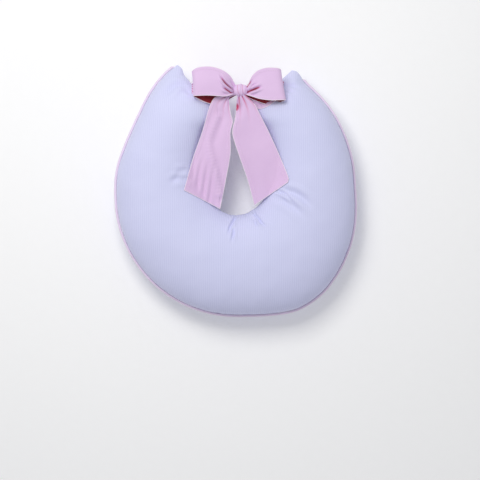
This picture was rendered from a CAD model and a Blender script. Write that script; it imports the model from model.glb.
"""Looks of the nursing pillow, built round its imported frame.  Metres; +Y points to the arm tips."""
import math

import bmesh
import bpy
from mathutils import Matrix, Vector, noise
from mathutils.bvhtree import BVHTree


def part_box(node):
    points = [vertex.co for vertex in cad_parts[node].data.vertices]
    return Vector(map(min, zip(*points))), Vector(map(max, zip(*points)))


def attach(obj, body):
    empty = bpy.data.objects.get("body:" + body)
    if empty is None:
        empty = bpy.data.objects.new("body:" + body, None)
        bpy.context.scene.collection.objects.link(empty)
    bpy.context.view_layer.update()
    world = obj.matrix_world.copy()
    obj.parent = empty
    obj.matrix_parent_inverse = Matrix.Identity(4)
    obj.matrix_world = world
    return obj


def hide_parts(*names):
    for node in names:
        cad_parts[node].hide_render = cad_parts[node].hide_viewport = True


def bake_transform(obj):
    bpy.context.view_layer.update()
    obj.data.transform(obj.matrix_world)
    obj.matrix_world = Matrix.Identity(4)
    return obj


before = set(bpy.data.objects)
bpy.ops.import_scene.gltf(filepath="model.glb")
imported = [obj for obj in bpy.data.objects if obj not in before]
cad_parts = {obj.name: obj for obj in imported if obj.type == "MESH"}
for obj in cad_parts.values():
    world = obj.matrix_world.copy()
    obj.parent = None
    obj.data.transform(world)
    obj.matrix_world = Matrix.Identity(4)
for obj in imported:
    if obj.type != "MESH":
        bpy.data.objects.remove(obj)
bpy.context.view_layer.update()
MM = 0.001

# ------------------------------------------------------------------ driving sizes, from the frame
PIPING_LOW, PIPING_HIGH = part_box("piping_sleeve")
PIPING_RADIUS = (PIPING_HIGH.z - PIPING_LOW.z) / 2
SEAM_Z = (PIPING_HIGH.z + PIPING_LOW.z) / 2
OUTER_RADIUS = (PIPING_HIGH.x - PIPING_LOW.x) / 2
PIPING_FIT = 0.2 * MM
SEAM_RADIUS = OUTER_RADIUS - 2 * PIPING_RADIUS - PIPING_FIT
ARC_CENTRE = Vector((0, PIPING_LOW.y + OUTER_RADIUS, SEAM_Z))
HOLE_CENTRE = Vector((0, 56 * MM, SEAM_Z))
HOLE_HALF_WIDTH = 80 * MM
HOLE_HALF_LENGTH = 106 * MM
SIDE_ANGLE = math.radians(20)
SIDE_LENGTH = 101.4 * MM
EAR_RADIUS = 180 * MM
EAR_TURN = math.radians(37)
ARC_LENGTH = SEAM_RADIUS * (math.pi / 2 + SIDE_ANGLE)
SEAM_LENGTH = ARC_LENGTH + SIDE_LENGTH + EAR_RADIUS * EAR_TURN
KNOT_LOW, KNOT_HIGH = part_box("bow_knot")
KNOT = (KNOT_LOW + KNOT_HIGH) / 2 + Vector((2.0, -0.5, 0.5)) * MM
VIEW_SPAN = 1.0285              # width of the picture, in the plane of the seam
VIEW_CENTRE = Vector((8.9, -103.4, 0)) * MM
VIEW_LENS = 150.0
VIEW_SENSOR = 36.0
VIEW_DISTANCE = VIEW_SPAN * VIEW_LENS / VIEW_SENSOR
RIBBON_THICK = 1.1 * MM
EDGE_RADIUS = 0.85 * MM
ZIP_MIDDLE = -134.0             # degrees round the arc's centre
ZIP_HALF_SPAN = 38.0            # degrees
ZIP_LINE = 58 * MM              # height of the zip
ZIP_HALF_WINDOW = 8.5 * MM
ZIP_SET_IN = 3.5 * MM           # how deep the cover is drawn in over the zip


# ------------------------------------------------------------------ small helpers
def through(knots, t):
    """A smooth curve through knots [(t, value), ...]; the values are numbers or vectors."""
    if t <= knots[0][0]:
        return knots[0][1]
    if t >= knots[-1][0]:
        return knots[-1][1]
    i = next(i for i in range(len(knots) - 1) if t <= knots[i + 1][0])

    def slope(j):
        low, high = max(j - 1, 0), min(j + 1, len(knots) - 1)
        return (knots[high][1] - knots[low][1]) / (knots[high][0] - knots[low][0])

    (t0, a), (t1, b) = knots[i], knots[i + 1]
    span = t1 - t0
    x = (t - t0) / span
    return (a * (2 * x ** 3 - 3 * x ** 2 + 1) + b * (3 * x ** 2 - 2 * x ** 3)
            + slope(i) * (span * (x ** 3 - 2 * x ** 2 + x))
            + slope(i + 1) * (span * (x ** 3 - x ** 2)))


def smooth(x):
    """0 below 0, 1 above 1, smooth between."""
    x = min(max(x, 0.0), 1.0)
    return x * x * (3 - 2 * x)


def higher(a, b, soft):
    """The larger of two heights, rounded off where they are closer than soft."""
    gap = max(soft - abs(a - b), 0.0) / soft
    return max(a, b) + gap * gap * soft / 4


def seen(x, y, z):
    """The point at a height in millimetres that the camera sees over (x, y) of the seam plane."""
    point = Vector((x, y, z)) * MM
    nearer = (point.z - SEAM_Z) / VIEW_DISTANCE
    return point - Vector((point.x - VIEW_CENTRE.x, point.y - VIEW_CENTRE.y, 0)) * nearer


def evenly(knots_points):
    """Points as curve knots, spaced by the distance between them, from 0 to 1."""
    points = [seen(*p) for p in knots_points]
    runs = [0.0]
    for a, b in zip(points, points[1:]):
        runs.append(runs[-1] + (b - a).length)
    return [(run / runs[-1], point) for run, point in zip(runs, points)]


def grid_object(name, rows, material, closed=False, turned=False):
    """A smooth mesh through a grid of points; closed joins each row's end to its start."""
    mesh = bpy.data.meshes.new(name)
    across = len(rows[0])
    faces = []
    for i in range(len(rows) - 1):
        for j in range(across if closed else across - 1):
            k = (j + 1) % across
            faces.append((i * across + j, i * across + k,
                          (i + 1) * across + k, (i + 1) * across + j))
    mesh.from_pydata([p for row in rows for p in row], [], faces)
    if turned:
        mesh.flip_normals()
    return mesh_object(name, mesh, material)


def mesh_object(name, mesh, material):
    """An object of a finished mesh, shaded smooth."""
    mesh.validate()
    mesh.update()
    mesh.shade_smooth()
    mesh.materials.append(material)
    thing = bpy.data.objects.new(name, mesh)
    bpy.context.scene.collection.objects.link(thing)
    return thing


def capped(thing):
    """Close the two open ends of a tube."""
    shape = bmesh.new()
    shape.from_mesh(thing.data)
    bmesh.ops.holes_fill(shape, edges=shape.edges, sides=0)
    bmesh.ops.recalc_face_normals(shape, faces=shape.faces)
    shape.to_mesh(thing.data)
    shape.free()
    thing.data.shade_smooth()
    return thing


# ------------------------------------------------------------------ materials
def node_material(name, roughness, sheen=0.0):
    """A new material and its shader."""
    material = bpy.data.materials.new(name)
    material.use_nodes = True
    shader = material.node_tree.nodes["Principled BSDF"]
    shader.inputs["Roughness"].default_value = roughness
    shader.inputs["Sheen Weight"].default_value = sheen
    shader.inputs["Sheen Roughness"].default_value = 0.5
    shader.inputs["Specular IOR Level"].default_value = 0.25
    return material, shader


def add(material, kind, **settings):
    """A node with its properties and input values set; links are given as sockets."""
    made = material.node_tree.nodes.new(kind)
    for key, value in settings.items():
        name = key.replace("_", " ")
        if hasattr(made, key) and name not in made.inputs:
            setattr(made, key, value)
        elif isinstance(value, bpy.types.NodeSocket):
            material.node_tree.links.new(value, made.inputs[name])
        else:
            made.inputs[name].default_value = value
    return made


def object_places(material):
    """The object coordinates, to draw patterns on."""
    return add(material, "ShaderNodeTexCoord").outputs["Object"]


def combine(material, operation, a, b):
    """A math node on two values or sockets."""
    made = material.node_tree.nodes.new("ShaderNodeMath")
    made.operation = operation
    for socket, value in zip(made.inputs, (a, b)):
        if isinstance(value, bpy.types.NodeSocket):
            material.node_tree.links.new(value, socket)
        else:
            socket.default_value = value
    return made.outputs[0]


WAVE_TURNS = 20                 # Blender's wave texture has this many radians per unit of scale


def stripes(material, coordinates, pitch, turn, distortion=0.0):
    """Parallel soft ridges of a given pitch, as a value from 0 to 1."""
    turned = add(material, "ShaderNodeMapping", Vector=coordinates)
    turned.inputs["Rotation"].default_value = turn
    wave = add(material, "ShaderNodeTexWave", Vector=turned.outputs[0],
               Scale=math.tau / WAVE_TURNS / pitch, Distortion=distortion, Detail=2.0)
    wave.wave_profile = "SIN"
    return wave.outputs["Fac"]


def relief(material, shader, height, strength, distance):
    """Bump from a height value onto the shader."""
    bump = add(material, "ShaderNodeBump", Height=height, Strength=strength, Distance=distance)
    material.node_tree.links.new(bump.outputs[0], shader.inputs["Normal"])


def tinted(material, shader, value, low, high):
    """The base colour runs from one colour to another with a value."""
    ramp = add(material, "ShaderNodeMix", data_type="RGBA")
    material.node_tree.links.new(value, ramp.inputs[0])
    ramp.inputs[6].default_value = (*low, 1)
    ramp.inputs[7].default_value = (*high, 1)
    material.node_tree.links.new(ramp.outputs[2], shader.inputs["Base Color"])
    return ramp


def cover_cotton():
    """White cotton with a fine rib down the pillow and a finer one across."""
    material, shader = node_material("cover_cotton", 0.92, 0.25)
    place = add(material, "ShaderNodeAttribute", attribute_name="cloth").outputs["Vector"]
    ribs = stripes(material, place, 4.6 * MM, (0, 0, 0), 0.15)
    cross = stripes(material, place, 2.3 * MM, (0, 0, math.pi / 2), 0.3)
    fine = add(material, "ShaderNodeTexNoise", Vector=place, Scale=1400.0, Detail=3.0)
    weave = combine(material, "ADD", combine(material, "MULTIPLY", ribs, 0.75),
                    combine(material, "MULTIPLY", cross, 0.25))
    weave = combine(material, "ADD", weave,
                    combine(material, "MULTIPLY", fine.outputs["Fac"], 0.35))
    patches = add(material, "ShaderNodeTexNoise", Vector=place, Scale=14.0, Detail=3.0)
    shade = combine(material, "ADD", combine(material, "MULTIPLY", weave, 0.5),
                    combine(material, "MULTIPLY", patches.outputs["Fac"], 0.5))
    tinted(material, shader, shade, (0.62, 0.635, 0.89), (0.735, 0.75, 0.995))
    relief(material, shader, weave, 0.55, 0.5 * MM)
    return material


def plain_cotton(name, low, high, pitch, turn=0.0, sheen=0.3, folded=None):
    """Plain-woven cotton: two crossed sets of fine threads, slubs and faint patches.

    With a folded colour, the cloth turns to it where its mesh says that it is deep in a fold."""
    material, shader = node_material(name, 0.85, sheen)
    place = object_places(material)
    warp = stripes(material, place, pitch, (0, 0, turn), 0.4)
    weft = stripes(material, place, pitch, (0, 0, turn + math.pi / 2), 0.4)
    slubs = add(material, "ShaderNodeTexNoise", Vector=place, Scale=700.0, Detail=4.0)
    weave = combine(material, "MULTIPLY", combine(material, "ADD", warp, weft), 0.35)
    weave = combine(material, "ADD", weave,
                    combine(material, "MULTIPLY", slubs.outputs["Fac"], 0.3))
    patches = add(material, "ShaderNodeTexNoise", Vector=place, Scale=22.0, Detail=4.0)
    shade = combine(material, "ADD", combine(material, "MULTIPLY", weave, 0.45),
                    combine(material, "MULTIPLY", patches.outputs["Fac"], 0.5))
    ramp = tinted(material, shader, shade, low, high)
    if folded:
        deep = add(material, "ShaderNodeAttribute", attribute_name="fold")
        mix = add(material, "ShaderNodeMix", data_type="RGBA")
        material.node_tree.links.new(deep.outputs["Fac"], mix.inputs[0])
        material.node_tree.links.new(ramp.outputs[2], mix.inputs[6])
        mix.inputs[7].default_value = (*folded, 1)
        material.node_tree.links.new(mix.outputs[2], shader.inputs["Base Color"])
    relief(material, shader, weave, 0.25, 0.3 * MM)
    return material


def lacquer(name, colour, metallic=0.0, roughness=0.35):
    """Smooth lacquered metal or nylon with faint unevenness."""
    material, shader = node_material(name, roughness)
    shader.inputs["Metallic"].default_value = metallic
    specks = add(material, "ShaderNodeTexNoise", Vector=object_places(material), Scale=900.0,
                 Detail=2.0)
    tinted(material, shader, specks.outputs["Fac"], [c * 0.92 for c in colour], colour)
    relief(material, shader, specks.outputs["Fac"], 0.05, 0.1 * MM)
    return material


COVER = cover_cotton()
RIBBON = plain_cotton("ribbon_cotton", (0.70, 0.49, 0.75), (0.88, 0.655, 0.92), 0.9 * MM,
                      folded=(0.60, 0.07, 0.17))
RIBBON_INSIDE = plain_cotton("ribbon_shaded_side", (0.24, 0.014, 0.025), (0.37, 0.032, 0.052),
                             0.9 * MM)
PIPING = plain_cotton("piping_cotton", (0.80, 0.65, 0.83), (0.93, 0.81, 0.95), 0.8 * MM,
                      math.pi / 4, 0.4)
THREAD = plain_cotton("sewing_thread", (0.86, 0.70, 0.84), (0.97, 0.86, 0.95), 0.3 * MM)
EDGE = plain_cotton("ribbon_edge", (0.84, 0.70, 0.84), (0.97, 0.88, 0.96), 0.4 * MM)
TICKING = plain_cotton("casing_ticking", (0.84, 0.84, 0.84), (0.93, 0.93, 0.92), 1.0 * MM)
ZIP_TAPE = plain_cotton("zip_tape", (0.70, 0.72, 0.88), (0.82, 0.84, 0.97), 0.9 * MM)
ZIP_COIL = lacquer("zip_coil", (0.86, 0.87, 0.93))
ZIP_METAL = lacquer("zip_metal", (0.84, 0.84, 0.88), 0.3, 0.28)

# ------------------------------------------------------------------ outline of the pillow
# Share of the way from the bottom (0) to an ear tip (1), negative on the left, against how far
# the stuffed cover stands outside the drafted seam.
SLACK = [(share, offset * MM) for share, offset in (
    (-1.0125, 2.3), (-1.0, 1.0), (-0.93, -3.5), (-0.85, -5.0), (-0.77, 0.0), (-0.66, 2.5),
    (-0.55, 0.0), (0.0, 0.0), (0.06, 3.0), (0.12, 11.0), (0.18, 20.0), (0.25, 22.0), (0.32, 17.5),
    (0.38, 12.5), (0.45, 7.0), (0.54, 0.0), (0.6, -2.0), (0.72, 5.0), (0.80, 2.0),
    (0.87, -9.0), (0.93, -16.0), (0.96, -15.5), (0.985, -9.0), (1.0, -7.0), (1.0142, -10.0))]
LAST_SHARE = {-1: 1.0125, 1: 1.0142}
BLUNT_TIP = 5.2 * MM            # how far the left ear's rounded tip stands past a straight cut,
BLUNT_AT, BLUNT_WIDTH = 0.80, 0.21      # where across the arm it is fullest, and how wide
CROWN = 0.9                     # fullness of the arm's section: 1 is an ellipse, less is boxier
# Inner edge of the right arm's end, and its tip where the two arms differ.
ARM_INSIDE = [(0.846, (36, 155)), (0.908, (30, 175)), (0.957, (56, 199))]
ARM_TIP_INSIDE = {-1: (93.5, 227), 1: (102, 243)}
ARM_HALF = [(0.0, 69.0), (0.66, 69.0), (0.772, 68.0), (0.846, 64.0), (0.908, 54.0), (0.957, 38.0),
            (0.985, 25.0), (1.0, 16.0), (1.0142, 3.5)]


def polar(centre, radius, angle):
    return centre + Vector((radius * math.cos(angle), radius * math.sin(angle), 0))


def seam(share, outset=0.0):
    """A point of the outer seam and the outward direction there."""
    side = -1 if share < 0 else 1
    run = abs(share) * SEAM_LENGTH
    if run < ARC_LENGTH:
        angle = run / SEAM_RADIUS - math.pi / 2
        point = polar(ARC_CENTRE, SEAM_RADIUS, angle)
    else:
        start = polar(ARC_CENTRE, SEAM_RADIUS, SIDE_ANGLE)
        along = Vector((-math.sin(SIDE_ANGLE), math.cos(SIDE_ANGLE), 0))
        on_side = min(run - ARC_LENGTH, SIDE_LENGTH)
        angle = SIDE_ANGLE + max(run - ARC_LENGTH - SIDE_LENGTH, 0) / EAR_RADIUS
        ear_centre = polar(start + along * SIDE_LENGTH, -EAR_RADIUS, SIDE_ANGLE)
        point = (start + along * on_side if angle == SIDE_ANGLE
                 else polar(ear_centre, EAR_RADIUS, angle))
    outward = Vector((math.cos(angle), math.sin(angle), 0))
    point = point + outward * (outset + through(SLACK, share))
    return Vector((side * point.x, point.y, point.z)), Vector((side * outward.x, outward.y, 0))


def rim(share):
    """A point of the inner seam: round the hole, then along the inside of the arm's end."""
    side = -1 if share < 0 else 1

    def on_hole(run):
        angle = run * SEAM_LENGTH / SEAM_RADIUS - math.pi / 2
        return HOLE_CENTRE + Vector((HOLE_HALF_WIDTH * math.cos(angle),
                                     HOLE_HALF_LENGTH * math.sin(angle), 0))

    meets = ARC_LENGTH / SEAM_LENGTH
    if abs(share) < meets:
        point = on_hole(abs(share))
    else:
        knots = [(meets - 0.06, on_hole(meets - 0.06)), (meets, on_hole(meets)),
                 (0.772, Vector((62, 131, 0)) * MM)]
        knots += [(at, Vector((x, y, 0)) * MM) for at, (x, y) in ARM_INSIDE]
        knots.append((LAST_SHARE[side], Vector((*ARM_TIP_INSIDE[side], 0)) * MM))
        point = through([(at, Vector((p.x, p.y, SEAM_Z))) for at, p in knots], abs(share))
    return Vector((side * point.x, point.y, SEAM_Z))


# Creases that the cover shows: the points they run through, depth and width, all in millimetres.
CREASES = [
    ([(1, -52), (-5, -62), (-12, -76), (-18, -96)], 4.6, 3.0),
    ([(-6, -76), (-5, -88), (-8, -102), (-10, -112)], 3.4, 3.0),
    ([(38, -43), (47, -57), (58, -69), (72, -79)], 4.8, 3.0),
    ([(37, -52), (43, -66), (44, -80)], 3.0, 3.2),
    ([(88, 2), (102, -3), (116, -15), (124, -30)], 3.2, 3.4),
    ([(99, 2), (124, -2), (150, -20), (166, -46)], 4.4, 7.5),
    ([(90, -14), (112, -24), (136, -44), (150, -66)], 3.6, 7.5),
    ([(-104, 26), (-124, 29), (-145, 16)], 3.4, 6.5),
    ([(-108, 44), (-120, 43), (-133, 40)], 2.8, 6.5),
    ([(-101, 226), (-124, 230), (-150, 212), (-166, 190)], 4.6, 7.5),
    ([(-96, 214), (-112, 216), (-130, 205)], 3.2, 5.5),
    ([(104, 226), (122, 229), (140, 224)], 4.4, 5.5),
    ([(101, 216), (116, 218), (134, 210)], 3.2, 5.0),
    ([(104, 238), (117, 242), (130, 238)], 1.8, 5.0),
]


CREASE_POINTS = 24
CREASE_HEIGHT = 130             # millimetres, near the top of the cushion and the bow
CREASE_SPAN = 0.11              # no crease is longer than this


def line_points(points):
    """Points spread along a smooth curve through a crease's points, as seen on the front."""
    knots = evenly([(x, y, CREASE_HEIGHT) for x, y in points])
    return [through(knots, i / (CREASE_POINTS - 1)) for i in range(CREASE_POINTS)]


def crease_lines(creases):
    """Creases ready for crease_depth: their lines, depths and widths in metres."""
    return [(line_points(points), depth * MM, width * MM) for points, depth, width in creases]


CREASE_LINES = crease_lines(CREASES)


def crease_depth(x, y, lines):
    """How far a point of a cloth surface is drawn in by the creases near it."""
    total = 0.0
    for points, depth, width in lines:
        reach = 3 * width
        if abs(points[0].x - x) > CREASE_SPAN or abs(points[0].y - y) > CREASE_SPAN:
            continue
        nearest, place = reach, 0.0
        for i, point in enumerate(points):
            away = math.hypot(point.x - x, point.y - y)
            if away < nearest:
                nearest, place = away, i / (len(points) - 1)
        if nearest < reach:
            fade = smooth((1 - place) / 0.5) * (0.4 + 0.6 * smooth(place / 0.15))
            r = nearest / width
            total += depth * fade * (math.exp(-r * r) - 0.45 * math.exp(-(r - 1.7) ** 2))
    return total


SECTIONS = 600                  # sections along the cover, and points round each
ROUND = 128
THINNEST = 2 * MM
LUMPS = ((1.6 * MM, 13), (0.7 * MM, 34))    # depth and fineness of the stuffing's lumps
FLOOR_SOFT = 2.5 * MM           # the cover starts to flatten this far above the floor


def section_share(i, count):
    """Where a section stands along the seam, with the sections closer together at the tips."""
    share = 2 * i / count - 1
    return math.copysign(1 - (1 - abs(share)) ** 1.12, share) * LAST_SHARE[-1 if share < 0 else 1]


def pillow_rows(sections, around, gap=0.0, shorter=0.0):
    """The stuffed ring as rows of points round the arm, drawn in by a gap all round.

    shorter is the share of the seam by which its two ends stop short of the ear tips."""
    rows = []
    for i in range(sections + 1):
        share = section_share(i, sections) * (1 - shorter)
        outer, inner = seam(share)[0], rim(share)
        half = through(ARM_HALF, abs(share)) * MM
        across = (outer - inner) / 2
        middle = inner + across
        across *= max(across.length - gap, THINNEST) / across.length
        ahead = Vector((across.y, -across.x, 0)).normalized()
        blunt = BLUNT_TIP * smooth((abs(share) - LAST_SHARE[-1]) / 0.03 + 1)
        row = []
        for j in range(around):
            turn = math.tau * j / around
            point = middle + across * math.cos(turn)
            rise = math.copysign(abs(math.sin(turn)) ** CROWN, math.sin(turn))
            point.z = SEAM_Z + max(half - gap, THINNEST) * rise
            if share < 0:
                place = 0.5 + 0.5 * math.cos(turn)
                point += ahead * blunt * math.exp(-((place - BLUNT_AT) / BLUNT_WIDTH) ** 2)
            row.append(point)
        rows.append(row)
    return rows


def ring_object(name, rows, material):
    """A closed mesh of the rows, its two ends closed by strips across the section."""
    thing = grid_object(name, rows, material, closed=True)
    shape = bmesh.new()
    shape.from_mesh(thing.data)
    shape.verts.ensure_lookup_table()
    around = len(rows[0])
    for start in (0, (len(rows) - 1) * around):
        for j in range(around // 2):
            corners = [shape.verts[start + n] for n in (j, j + 1, (-j - 1) % around, -j % around)]
            corners = list(dict.fromkeys(corners))
            if len(corners) > 2:
                shape.faces.new(corners)
    bmesh.ops.recalc_face_normals(shape, faces=shape.faces)
    shape.to_mesh(thing.data)
    shape.free()
    thing.data.shade_smooth()
    return thing


def on_floor(z):
    """A height, pressed flat where it would pass through the floor."""
    return z if z > FLOOR_SOFT else FLOOR_SOFT * math.exp((z - FLOOR_SOFT) / FLOOR_SOFT)


def rim_pucker(share, away):
    """Small gathers that run out from the inner seam."""
    wave = (noise.noise(Vector((share * 62, 3.1, 0)))
            + 0.6 * noise.noise(Vector((share * 120, 9, 0))))
    return 1.0 * MM * wave * math.exp(-away / (16 * MM)) * smooth(away / (3 * MM))


def edge_pucker(share, away):
    """Finer gathers along the piped seam."""
    wave = noise.noise(Vector((share * 110, 1.7, 5)))
    return 0.8 * MM * wave * math.exp(-away / (9 * MM)) * smooth(away / (2 * MM))


def zip_recess(point):
    """How far the cover is drawn in over the zip: a shallow channel below the seam."""
    away = Vector((point.x, point.y)) - Vector((ARC_CENTRE.x, ARC_CENTRE.y))
    angle = math.degrees(math.atan2(away.y, away.x))
    lengthwise = smooth((ZIP_HALF_SPAN - abs(angle - ZIP_MIDDLE)) / 0.6)
    height = smooth((ZIP_HALF_WINDOW + 1.2 * MM - abs(point.z - ZIP_LINE)) / (2.4 * MM))
    return lengthwise * height


def cloth_places(rows):
    """Where each point lay on its panel before sewing: its section rolled out flat, both ways."""
    places = []
    for row in rows:
        outward = (row[0] - row[ROUND // 2]).normalized()
        middle = (row[0] + row[ROUND // 2]) / 2
        quarter, half = ROUND // 4, ROUND // 2
        runs = [0.0] * ROUND
        for top in (quarter, quarter + half):
            for step in (1, -1):
                for n in range(1, quarter + 1):
                    j, before = (top + step * n) % ROUND, (top + step * (n - 1)) % ROUND
                    runs[j] = abs(runs[before]) + (row[j] - row[before]).length
        for j, run in enumerate(runs):
            side = 1 if j < quarter or j > quarter + half else -1
            places.append(middle + outward * (run * side))
    return places


def store(mesh, name, kind, values):
    """Keep a value for each point of a mesh, for a material to read."""
    layer = mesh.attributes.new(name, kind, "POINT")
    key = "vector" if kind == "FLOAT_VECTOR" else "value"
    layer.data.foreach_set(key, [c for v in values for c in v] if key == "vector" else values)


def pillow_cover():
    """The whole stuffed cover: smooth form, lumps of the stuffing, gathers and creases."""
    rows = pillow_rows(SECTIONS, ROUND)
    thing = ring_object("cover_cushion", rows, COVER)
    mesh = thing.data
    store(mesh, "cloth", "FLOAT_VECTOR", cloth_places(rows))
    normals = [v.normal.copy() for v in mesh.vertices]
    for i, row in enumerate(rows):
        share = section_share(i, SECTIONS)
        inner, outer = row[ROUND // 2], row[0]
        ends = smooth((1 - abs(share)) / 0.03)
        for j, point in enumerate(row):
            n = i * ROUND + j
            from_rim = (point - inner).length
            from_edge = (point - outer).length
            lump = sum(depth * noise.noise(point * fineness) for depth, fineness in LUMPS)
            rise = ends * (lump * smooth(from_edge / (12 * MM)) + rim_pucker(share, from_rim)
                           + edge_pucker(share, from_edge))
            if point.z > SEAM_Z:
                rise -= crease_depth(point.x, point.y, CREASE_LINES) * smooth(from_edge / (6 * MM))
            rise -= ZIP_SET_IN * zip_recess(point)
            moved = point + normals[n] * rise
            moved.z = on_floor(moved.z)
            mesh.vertices[n].co = moved
    mesh.update()
    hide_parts("cover_front_panel", "cover_back_panel")
    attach(thing, "pillow")
    return thing


CASING_GAP = 9 * MM
CASING_BASE = 7 * MM            # height of the casing's flat underside
CASING_SHORTER = 0.05           # keeps its ends inside the cover's thin ear tips


def inner_cushion():
    """The stuffed casing inside the cover, which only shows when the cover comes off."""
    rows = pillow_rows(160, 48, CASING_GAP, CASING_SHORTER)
    for row in rows:
        for point in row:
            point.z = on_floor(point.z - CASING_BASE) + CASING_BASE
    thing = ring_object("inner_cushion", rows, TICKING)
    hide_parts("inner_casing_front", "inner_casing_back", "fibre_fill")
    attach(thing, "pillow")


PIPING_ENDS = (-1.0095, 0.972)  # shares of the seam where the piping tucks in


def piping():
    """The corded edge, a little uneven, with its ends tucked into the ear seams."""
    rows = []
    count, around = 900, 14
    for i in range(count + 1):
        share = PIPING_ENDS[0] + (PIPING_ENDS[1] - PIPING_ENDS[0]) * i / count
        wander = 0.7 * MM * noise.noise(Vector((share * 40, 0.3, 0)))
        centre, outward = seam(share, PIPING_RADIUS + PIPING_FIT + wander * 0.5)
        centre.z += wander * 1.4 - 2.0 * MM * math.exp(-((share - 0.02) / 0.05) ** 2)
        tuck = 1 - smooth(min(share - PIPING_ENDS[0], PIPING_ENDS[1] - share) / 0.012)
        centre -= outward * tuck * 5 * MM
        ends = 1 - 0.5 * tuck
        radius = 0.92 * PIPING_RADIUS * ends * (1 + 0.05 * noise.noise(Vector((share * 190, 2, 0))))
        rows.append([centre + (outward * math.cos(turn) + Vector((0, 0, math.sin(turn)))) * radius
                     for turn in (math.tau * j / around for j in range(around))])
    thing = capped(grid_object("piping_edge", rows, PIPING, closed=True))
    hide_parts("piping_sleeve", "piping_cord")
    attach(thing, "pillow")


# ------------------------------------------------------------------ ribbon
def resting_on(tree, point, lift, soft=12 * MM):
    """The point, raised onto the cushion where it would lie lower."""
    hit = tree.ray_cast(Vector((point.x, point.y, 0.4)), Vector((0, 0, -1)))[0]
    if hit is None:
        return point
    return Vector((point.x, point.y, higher(point.z, hit.z + lift, soft)))


def ribbon(name, edge_a, edge_b, shape, rows=90, columns=36, inside=None, turned=False):
    """Cloth between two edge curves.

    shape(point, s, v) gives each point its final place, and how deep in a fold it lies, 0 to 1."""
    a, b = evenly(edge_a), evenly(edge_b)
    grid, folds = [], []
    for i in range(rows + 1):
        s = i / rows
        start, end = through(a, s), through(b, s)
        made = [shape(start.lerp(end, j / columns), s, j / columns) for j in range(columns + 1)]
        grid.append([point for point, fold in made])
        folds += [fold for point, fold in made]
    thing = grid_object(name, grid, RIBBON, turned=turned)
    store(thing.data, "fold", "FLOAT", folds)
    if inside:
        thing.data.materials.append(inside)
    thick = thing.modifiers.new("thickness", "SOLIDIFY")
    thick.thickness = RIBBON_THICK
    thick.offset = 0.0
    if inside:
        thick.material_offset = 1
    return thing, grid


TUBE_SIDES = 8
TUBE_TAPER = 3                  # points over which a strand narrows at each end


def tube(name, path, radius, material):
    """A thin round strand along a path of points, narrower at its two ends."""
    rows = []
    for i, centre in enumerate(path):
        along = (path[min(i + 1, len(path) - 1)] - path[max(i - 1, 0)]).normalized()
        side = along.cross(Vector((0, 0, 1)))
        side = side.normalized() if side.length > 1e-6 else Vector((1, 0, 0))
        up = side.cross(along)
        size = radius * min(1.0, (min(i, len(path) - 1 - i) + 1) / TUBE_TAPER)
        rows.append([centre + (side * math.cos(turn) + up * math.sin(turn)) * size
                     for turn in (math.tau * k / TUBE_SIDES for k in range(TUBE_SIDES))])
    return capped(grid_object(name, rows, material, closed=True))


def edging(name, grid, first, last, across_end=False):
    """The rolled hem that runs along a ribbon's long edges, and across its end."""
    rows = grid[first:last]
    up_side = [row[-1] for row in reversed(rows)]
    if across_end:
        return [tube(name, [row[0] for row in rows] + rows[-1][1:-1] + up_side, EDGE_RADIUS, EDGE)]
    return [tube(name + "_a", [row[0] for row in rows], EDGE_RADIUS, EDGE),
            tube(name + "_b", up_side, EDGE_RADIUS, EDGE)]


def ribbon_piece(thing, extras, node_name, body, **cloth):
    """Say what a finished ribbon stands for, what it moves with and what it was cut from."""
    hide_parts(node_name)
    for piece in [thing, *extras]:
        if body == "pillow":
            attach(piece, body)
        else:
            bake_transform(piece)


def upwards(point):
    return Vector((0, 0, 1))


STITCH_LENGTH, STITCH_GAP, STITCH_RADIUS = 2.6 * MM, 1.2 * MM, 0.28 * MM
STITCH_SIDES = 6


def stitches(name, grid, columns, first=4, last=None, lift=0.9 * MM, facing=upwards):
    """Rows of short thread stitches along chosen columns of a grid, on the side that it faces."""
    shape = bmesh.new()
    for column in columns:
        line = [row[column] for row in grid][first:last]
        sides = [grid[i][min(column + 1, len(grid[0]) - 1)] - grid[i][max(column - 1, 0)]
                 for i in range(len(grid))][first:last]
        runs = [0.0]
        for p, q in zip(line, line[1:]):
            runs.append(runs[-1] + (q - p).length)
        knots = list(zip(runs, line))
        place = 0.0
        while place + STITCH_LENGTH < runs[-1]:
            p, q = through(knots, place), through(knots, place + STITCH_LENGTH)
            i = min(range(len(runs)), key=lambda n: abs(runs[n] - place))
            along = (q - p).normalized()
            normal = sides[i].cross(along).normalized()
            normal = normal if normal.dot(facing(p)) > 0 else -normal
            across = along.cross(normal)
            rings = []
            for at, size in ((0.0, 0.3), (0.2, 1.0), (0.8, 1.0), (1.0, 0.3)):
                centre = p.lerp(q, at) + normal * (lift - (0.35 * MM if size < 1 else 0))
                ring = []
                for k in range(STITCH_SIDES):
                    turn = math.tau * k / STITCH_SIDES
                    out = normal * math.sin(turn) + across * math.cos(turn)
                    ring.append(shape.verts.new(centre + out * STITCH_RADIUS * size))
                rings.append(ring)
            for low, high in zip(rings, rings[1:]):
                for k in range(STITCH_SIDES):
                    after = (k + 1) % STITCH_SIDES
                    shape.faces.new((low[k], low[after], high[after], high[k]))
            shape.faces.new(rings[0][::-1])
            shape.faces.new(rings[-1])
            place += STITCH_LENGTH + STITCH_GAP
    mesh = bpy.data.meshes.new(name)
    shape.to_mesh(mesh)
    shape.free()
    return mesh_object(name, mesh, THREAD)


def hem_step(v, width=0.09):
    """The height that a turned hem adds near a ribbon's long edges."""
    edge = min(v, 1 - v)
    return 0.55 * MM * (1 - smooth((edge - width) / 0.03))


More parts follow.
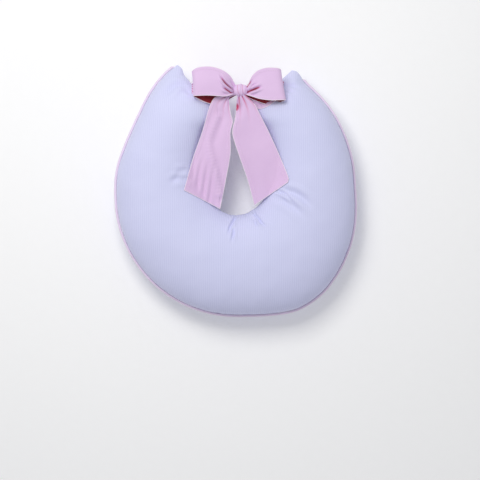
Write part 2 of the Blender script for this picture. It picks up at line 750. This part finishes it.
def zip_topstitch(tree):
    """The line of stitches that holds the zip's lower tape to the back panel."""
    def outwards(point):
        return Vector((point.x - ARC_CENTRE.x, point.y - ARC_CENTRE.y, 0))

    line = ZIP_LINE - ZIP_HALF_WINDOW - 3.5 * MM
    rows = 90
    grid = []
    for i in range(rows + 1):
        angle = math.radians(ZIP_MIDDLE + (ZIP_HALF_SPAN + 1.5) * (2 * i / rows - 1))
        inwards = -polar(Vector(), 1.0, angle)
        start = polar(Vector((ARC_CENTRE.x, ARC_CENTRE.y, 0)), 0.5, angle)
        grid.append([tree.ray_cast(start + Vector((0, 0, line + step * MM)), inwards)[0]
                     for step in (-1, 0, 1)])
    thing = stitches("zip_topstitch", grid, (1,), first=0, lift=0.3 * MM, facing=outwards)
    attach(thing, "pillow")


def near_knot(point):
    return math.hypot(point.x - KNOT.x, point.y - KNOT.y)


def tails(tree):
    """The two free ends of the bow, from the knot over the hole to their slanted cuts."""
    left_a = [(4, 214, 122), (-22, 208, 121), (-44, 202, 122), (-55, 184, 121), (-72, 127, 116),
              (-91, 73, 110), (-110, 3, 101)]
    left_b = [(5, 209, 118), (-8, 205, 118), (-15, 200, 119), (-11, 166, 118), (-7, 150, 116),
              (-12, 128, 113), (-12, 83, 108), (-21, 29, 99), (-34, -36, 90)]
    right_a = [(10, 209, 120), (3, 202, 118), (1, 176, 114), (-2, 152, 118), (-6, 136, 118),
               (-6, 120, 117), (9, 73, 112), (25, 27, 104), (40, -28, 94)]
    right_b = [(15, 211, 124), (23, 205, 125), (39, 189, 124), (51, 166, 121), (72, 124, 116),
               (95, 73, 110), (112, 29, 103), (111, 20, 101)]

    ridge = line_points([(-40, 160), (-58, 108), (-50, 66), (-40, 28), (-36, -4)])

    def left_shape(point, s, v):
        off = min((math.hypot(p.x - point.x, p.y - point.y), p.x - point.x) for p in ridge)
        sign = -1 if off[1] > 0 else 1
        r = sign * off[0] / (8 * MM)
        folds = 3.4 * MM * (math.exp(-r * r) - 0.6 * math.exp(-(r - 1.6) ** 2)) * smooth(s / 0.35)
        low = smooth((s - 0.62) / 0.25) * smooth((0.85 - v) / 0.25)
        folds += 1.7 * MM * low * math.sin(v * 33 + 2.2 * s + 1.2 * math.sin(s * 11))
        folds += 1.3 * MM * math.sin(s * 8 + v * 4) * smooth(s / 0.3)
        gather = 5.0 * MM * math.exp(-near_knot(point) / (26 * MM)) * math.sin(v * 19)
        deep = smooth(-gather / (2.4 * MM)) * 0.8
        point = point + Vector((0, 0, folds + gather + hem_step(v)))
        return resting_on(tree, point, 2.2 * MM), deep

    def right_shape(point, s, v):
        folds = 1.8 * MM * math.sin(v * 5 + s * 5) * smooth(s / 0.25)
        folds += 0.8 * MM * smooth((s - 0.6) / 0.3) * math.sin(v * 15 + s * 3)
        gather = 4.5 * MM * math.exp(-near_knot(point) / (24 * MM)) * math.sin(v * 17 + 1)
        tucked = math.exp(-((s - 0.125) / 0.045) ** 2 - (v / 0.24) ** 2)
        deep = max(smooth(-gather / (2.2 * MM)) * 0.8, smooth((tucked - 0.35) / 0.5))
        point = point + Vector((0, 0, folds + gather - 10 * MM * tucked + hem_step(v)))
        return resting_on(tree, point, 2.2 * MM), deep

    for hand, a, b, shape in (("left", left_a, left_b, left_shape),
                              ("right", right_a, right_b, right_shape)):
        name = "bow_tail_" + hand
        thing, grid = ribbon(name + "_cloth", a, b, shape, rows=140, columns=60)
        extras = [stitches(name + "_stitches", grid, (5, 55), first=34)]
        extras += edging(name + "_edge", grid, 20, None, across_end=True)
        ribbon_piece(thing, extras, name, "tail_" + hand, flat=(78 * MM, 250 * MM),
                     held="gathered", rests_on=["bow_knot_wrap"])


def loops():
    """The two loops of the bow: out from the knot, round the fold and back behind."""
    left_top = [(3, 221, 120), (-6, 238, 128), (-12, 247.5, 133), (-22, 256.5, 138),
                (-36, 263.5, 141), (-52, 267.5, 143), (-68, 268, 143), (-84, 265, 141),
                (-92, 260, 136), (-94, 257, 130), (-90, 256, 123), (-56, 250, 116),
                (-24, 237, 113), (3, 219, 112)]
    left_low = [(1, 212, 120), (-9, 208, 127), (-22, 205, 134), (-36, 205.5, 139),
                (-60, 207, 142), (-78, 206.5, 142), (-88, 206, 139), (-91, 205.5, 131),
                (-88, 203, 123), (-53, 188.5, 114), (-24, 194, 111), (1, 207, 111)]
    right_top = [(17, 221, 120), (27, 230.5, 127), (31, 240, 132), (36, 249, 136),
                 (47.5, 259.5, 140), (64, 265, 142), (80, 265.5, 142), (90, 264.5, 140),
                 (95.5, 262, 135), (96, 258, 129), (88, 256, 122), (56, 250, 116),
                 (32, 237, 113), (17, 220, 112)]
    right_low = [(17, 211, 120), (23, 208, 126), (32, 205.5, 131), (52, 199.5, 137),
                 (77, 196.5, 141), (96, 197, 142), (104, 197, 139), (107, 197.5, 131),
                 (102, 194, 123), (72, 187, 116), (38, 197, 112), (17, 208, 111)]
    folds = {
        "left": [([(-2, 215), (-8, 219.5), (-19, 228.5), (-28, 239), (-36, 254)], 10.0, 2.4),
                 ([(-2, 213), (-11, 213.5), (-20, 218.5), (-31, 227)], 9.5, 3.0),
                 ([(-3, 220), (-8, 232), (-14, 242)], 3.0, 2.6),
                 ([(-2, 210), (-15, 209), (-32, 211)], 3.0, 3.0)],
        "right": [([(20, 213.5), (28, 215), (37, 218.4), (48, 222.5), (60, 226)], 11.0, 3.1),
                  ([(20, 219), (25, 226.4), (30, 233), (37, 243)], 7.5, 2.8),
                  ([(20, 217), (29, 221.5), (40, 228), (50, 233)], 2.6, 2.6),
                  ([(20, 211), (32, 209), (50, 206)], 3.0, 3.0)],
    }
    for hand, top, low in (("left", left_top, left_low), ("right", right_top, right_low)):
        lines = crease_lines(folds[hand])

        def shape(point, s, v, lines=lines, hand=hand):
            front = 1 if s < 0.5 else -1
            gather = math.exp(-near_knot(point) / (17 * MM))
            pleat = 1.6 * MM * gather * math.sin(v * 20 + (0 if hand == "left" else 1.2))
            swell = 2.5 * MM * math.sin(math.pi * v) * smooth(near_knot(point) / (50 * MM))
            rise = front * (pleat + swell)
            drawn_in = crease_depth(point.x, point.y, lines) if s < 0.45 else 0.0
            rise += 0.8 * MM * noise.noise(point * 45) - drawn_in
            deep = smooth((drawn_in - 1.8 * MM) / (4.5 * MM))
            return point + Vector((0, 0, rise + front * hem_step(v, 0.07))), deep

        node_name = "bow_loop_" + hand
        thing, grid = ribbon(node_name + "_cloth", top, low, shape, rows=210, columns=72,
                             inside=RIBBON_INSIDE, turned=hand == "left")
        extras = [stitches(node_name + "_stitches", grid, (6, 66), first=24, last=100)]
        extras += edging(node_name + "_edge", grid, 8, 200)
        ribbon_piece(thing, extras, node_name, "pillow", flat=(70 * MM, 205 * MM), held="folded",
                     rests_on=["bow_knot_wrap"])


def straps(tree):
    """The ribbon from each arm tip to the back of the knot."""
    def shape(point, s, v):
        gather = math.exp(-s / 0.12) + math.exp(-(1 - s) / 0.12)
        pleats = 4.2 * MM * gather * math.sin(v * 29)
        folds = pleats + 1.6 * MM * math.sin(v * 9 + s * 5)
        deep = 0.7 * smooth(-pleats / (3 * MM))
        return resting_on(tree, point + Vector((0, 0, folds)), 1.8 * MM, 6 * MM), deep

    edges = {
        "left": ([(-94, 232, 78), (-78, 240, 90), (-50, 238, 102), (-20, 228, 108), (3, 220, 110)],
                 [(-94, 210, 78), (-80, 196, 98), (-56, 190, 108), (-24, 200, 109), (2, 208, 109)]),
        "right": ([(103, 236, 78), (86, 243, 90), (56, 240, 102), (34, 228, 108), (13, 220, 110)],
                  [(100, 214, 78), (80, 190, 98), (50, 178, 110), (28, 196, 110), (14, 208, 109)]),
    }
    for hand, (a, b) in edges.items():
        name = "ribbon_strap_" + hand
        thing, grid = ribbon(name + "_cloth", a, b, shape, rows=80, columns=48)
        ribbon_piece(thing, edging(name + "_edge", grid, 2, 78), name, "pillow",
                     flat=(60 * MM, 105 * MM), held="gathered", rests_on=["cover_cushion"])


def knot():
    """The wrap round the middle of the bow: a short pleated band, drawn tight."""
    half = (KNOT_HIGH - KNOT_LOW) / 2 + Vector((1.0, 3.0, 1.5)) * MM
    rows, folds = [], []
    length, around = 72, 96
    for i in range(length + 1):
        x = 2 * i / length - 1
        row = []
        for j in range(around):
            turn = math.tau * j / around
            barrel = ((1 - 0.40 * abs(x) ** 2.6)
                      * (0.35 + 0.65 * (1 - smooth((abs(x) - 0.86) / 0.14))))
            wave = math.sin(x * 4.6 + 1.5 * math.sin(turn + 0.4) + 0.5)
            pleat = 0.15 * (abs(wave) ** 0.6 - 0.7) + 0.025 * math.sin(x * 19 + 2 * turn)
            folds.append(0.6 * smooth(1 - abs(wave) / 0.22) * (1 - x ** 4))
            lump = 0.06 * noise.noise(Vector((x * 2, math.cos(turn) * 1.5, math.sin(turn) * 1.5)))
            size = barrel * (1 + pleat * (1 - abs(x) ** 4) + lump)
            row.append(KNOT + Vector((half.x * x + 1.5 * MM * math.sin(turn) * x,
                                      half.y * 0.98 * size * math.cos(turn),
                                      half.z * size * math.sin(turn))))
        rows.append(row)
    thing = capped(grid_object("bow_knot_wrap", rows, RIBBON, closed=True))
    store(thing.data, "fold", "FLOAT", folds)
    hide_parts("bow_knot")
    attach(thing, "pillow")


# ------------------------------------------------------------------ carried-over parts
def finish_cad_nodes():
    """Better materials on the parts that stay as they were designed."""
    finishes = {
        "zip_tape_upper": ZIP_TAPE, "zip_tape_lower": ZIP_TAPE, "zip_coil_upper": ZIP_COIL,
        "zip_coil_lower": ZIP_COIL, "zip_top_stop": ZIP_METAL, "zip_bottom_stop": ZIP_METAL,
        "zip_slider": ZIP_METAL, "zip_pull_tab": ZIP_METAL,
    }
    for node, material in finishes.items():
        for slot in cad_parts[node].material_slots:
            slot.material = material


# ------------------------------------------------------------------ floor, light and camera
def studio():
    """A pale floor, an even white sky, and one large soft lamp on the upper left."""
    scene = bpy.context.scene
    mesh = bpy.data.meshes.new("floor")
    reach = 6.0
    corners = [(-reach, -reach, 0), (reach, -reach, 0), (reach, reach, 0), (-reach, reach, 0)]
    mesh.from_pydata(corners, [], [(0, 1, 2, 3)])
    material, shader = node_material("floor", 0.9)
    grain = add(material, "ShaderNodeTexNoise", Vector=object_places(material), Scale=60.0)
    tinted(material, shader, grain.outputs["Fac"], (0.93, 0.93, 0.93), (0.96, 0.96, 0.96))
    shader.inputs["Emission Color"].default_value = (1, 1, 1, 1)
    shader.inputs["Emission Strength"].default_value = 0.1
    floor = mesh_object("floor", mesh, material)
    floor.location.z = -0.4 * MM
    world = bpy.data.worlds.new("studio")
    world.use_nodes = True
    sky = world.node_tree.nodes["Background"]
    sky.inputs["Color"].default_value = (0.95, 0.96, 1.0, 1)
    sky.inputs["Strength"].default_value = 0.49
    scene.world = world
    scene.view_settings.view_transform = "Standard"
    lamp = bpy.data.lights.new("key", "AREA")
    lamp.energy = 19.8
    lamp.size = 0.85
    lamp.color = (1.0, 0.99, 0.96)
    thing = bpy.data.objects.new("key", lamp)
    thing.location = (-0.42, 0.80, 1.83)
    thing.rotation_euler = (thing.location - Vector((0, 0, 0.1))).to_track_quat("Z", "Y").to_euler()
    scene.collection.objects.link(thing)


def camera():
    """Straight down onto the front panel, framed as the object is seen."""
    lens = bpy.data.cameras.new("camera")
    lens.lens = VIEW_LENS
    lens.sensor_width = VIEW_SENSOR
    view = bpy.data.objects.new("camera", lens)
    view.location = VIEW_CENTRE + Vector((0, 0, SEAM_Z + VIEW_DISTANCE))
    bpy.context.scene.collection.objects.link(view)
    bpy.context.scene.camera = view


camera()
studio()
cushion = pillow_cover()
inner_cushion()
piping()
bpy.context.view_layer.update()
cushion_tree = BVHTree.FromPolygons([v.co for v in cushion.data.vertices],
                                    [p.vertices for p in cushion.data.polygons])
knot()
straps(cushion_tree)
loops()
tails(cushion_tree)
zip_topstitch(cushion_tree)
finish_cad_nodes()
